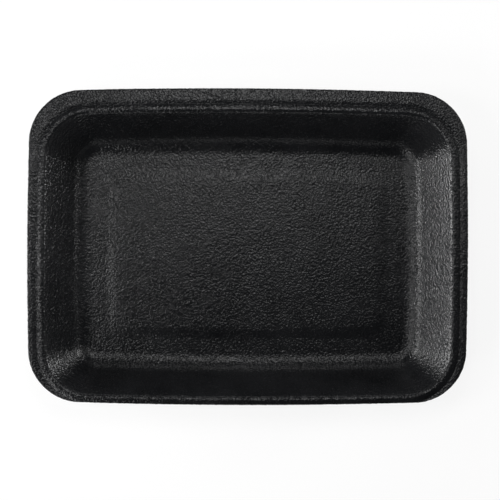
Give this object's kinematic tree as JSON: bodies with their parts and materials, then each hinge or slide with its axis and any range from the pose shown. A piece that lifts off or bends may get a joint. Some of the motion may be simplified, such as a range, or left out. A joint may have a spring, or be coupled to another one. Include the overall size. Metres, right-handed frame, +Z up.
{
  "type": "foam meat tray",
  "caption": "Shallow rectangular foam meat tray with sloping walls, rounded corners, a beaded rim and a raised floor panel.",
  "frame": {"origin": "on the surface the foot stands on, under the middle of the cut outline", "axes": "+X along the length, +Y across the width towards the wider flange, +Z up out of the well"},
  "size_m": [0.21, 0.151, 0.025],
  "materials": {
    "black_foam": "black expanded polystyrene foam with a fine-grained, slightly satin skin"
  },
  "bodies": {
    "root": {"tray": "black_foam"}
  },
  "joints": []
}
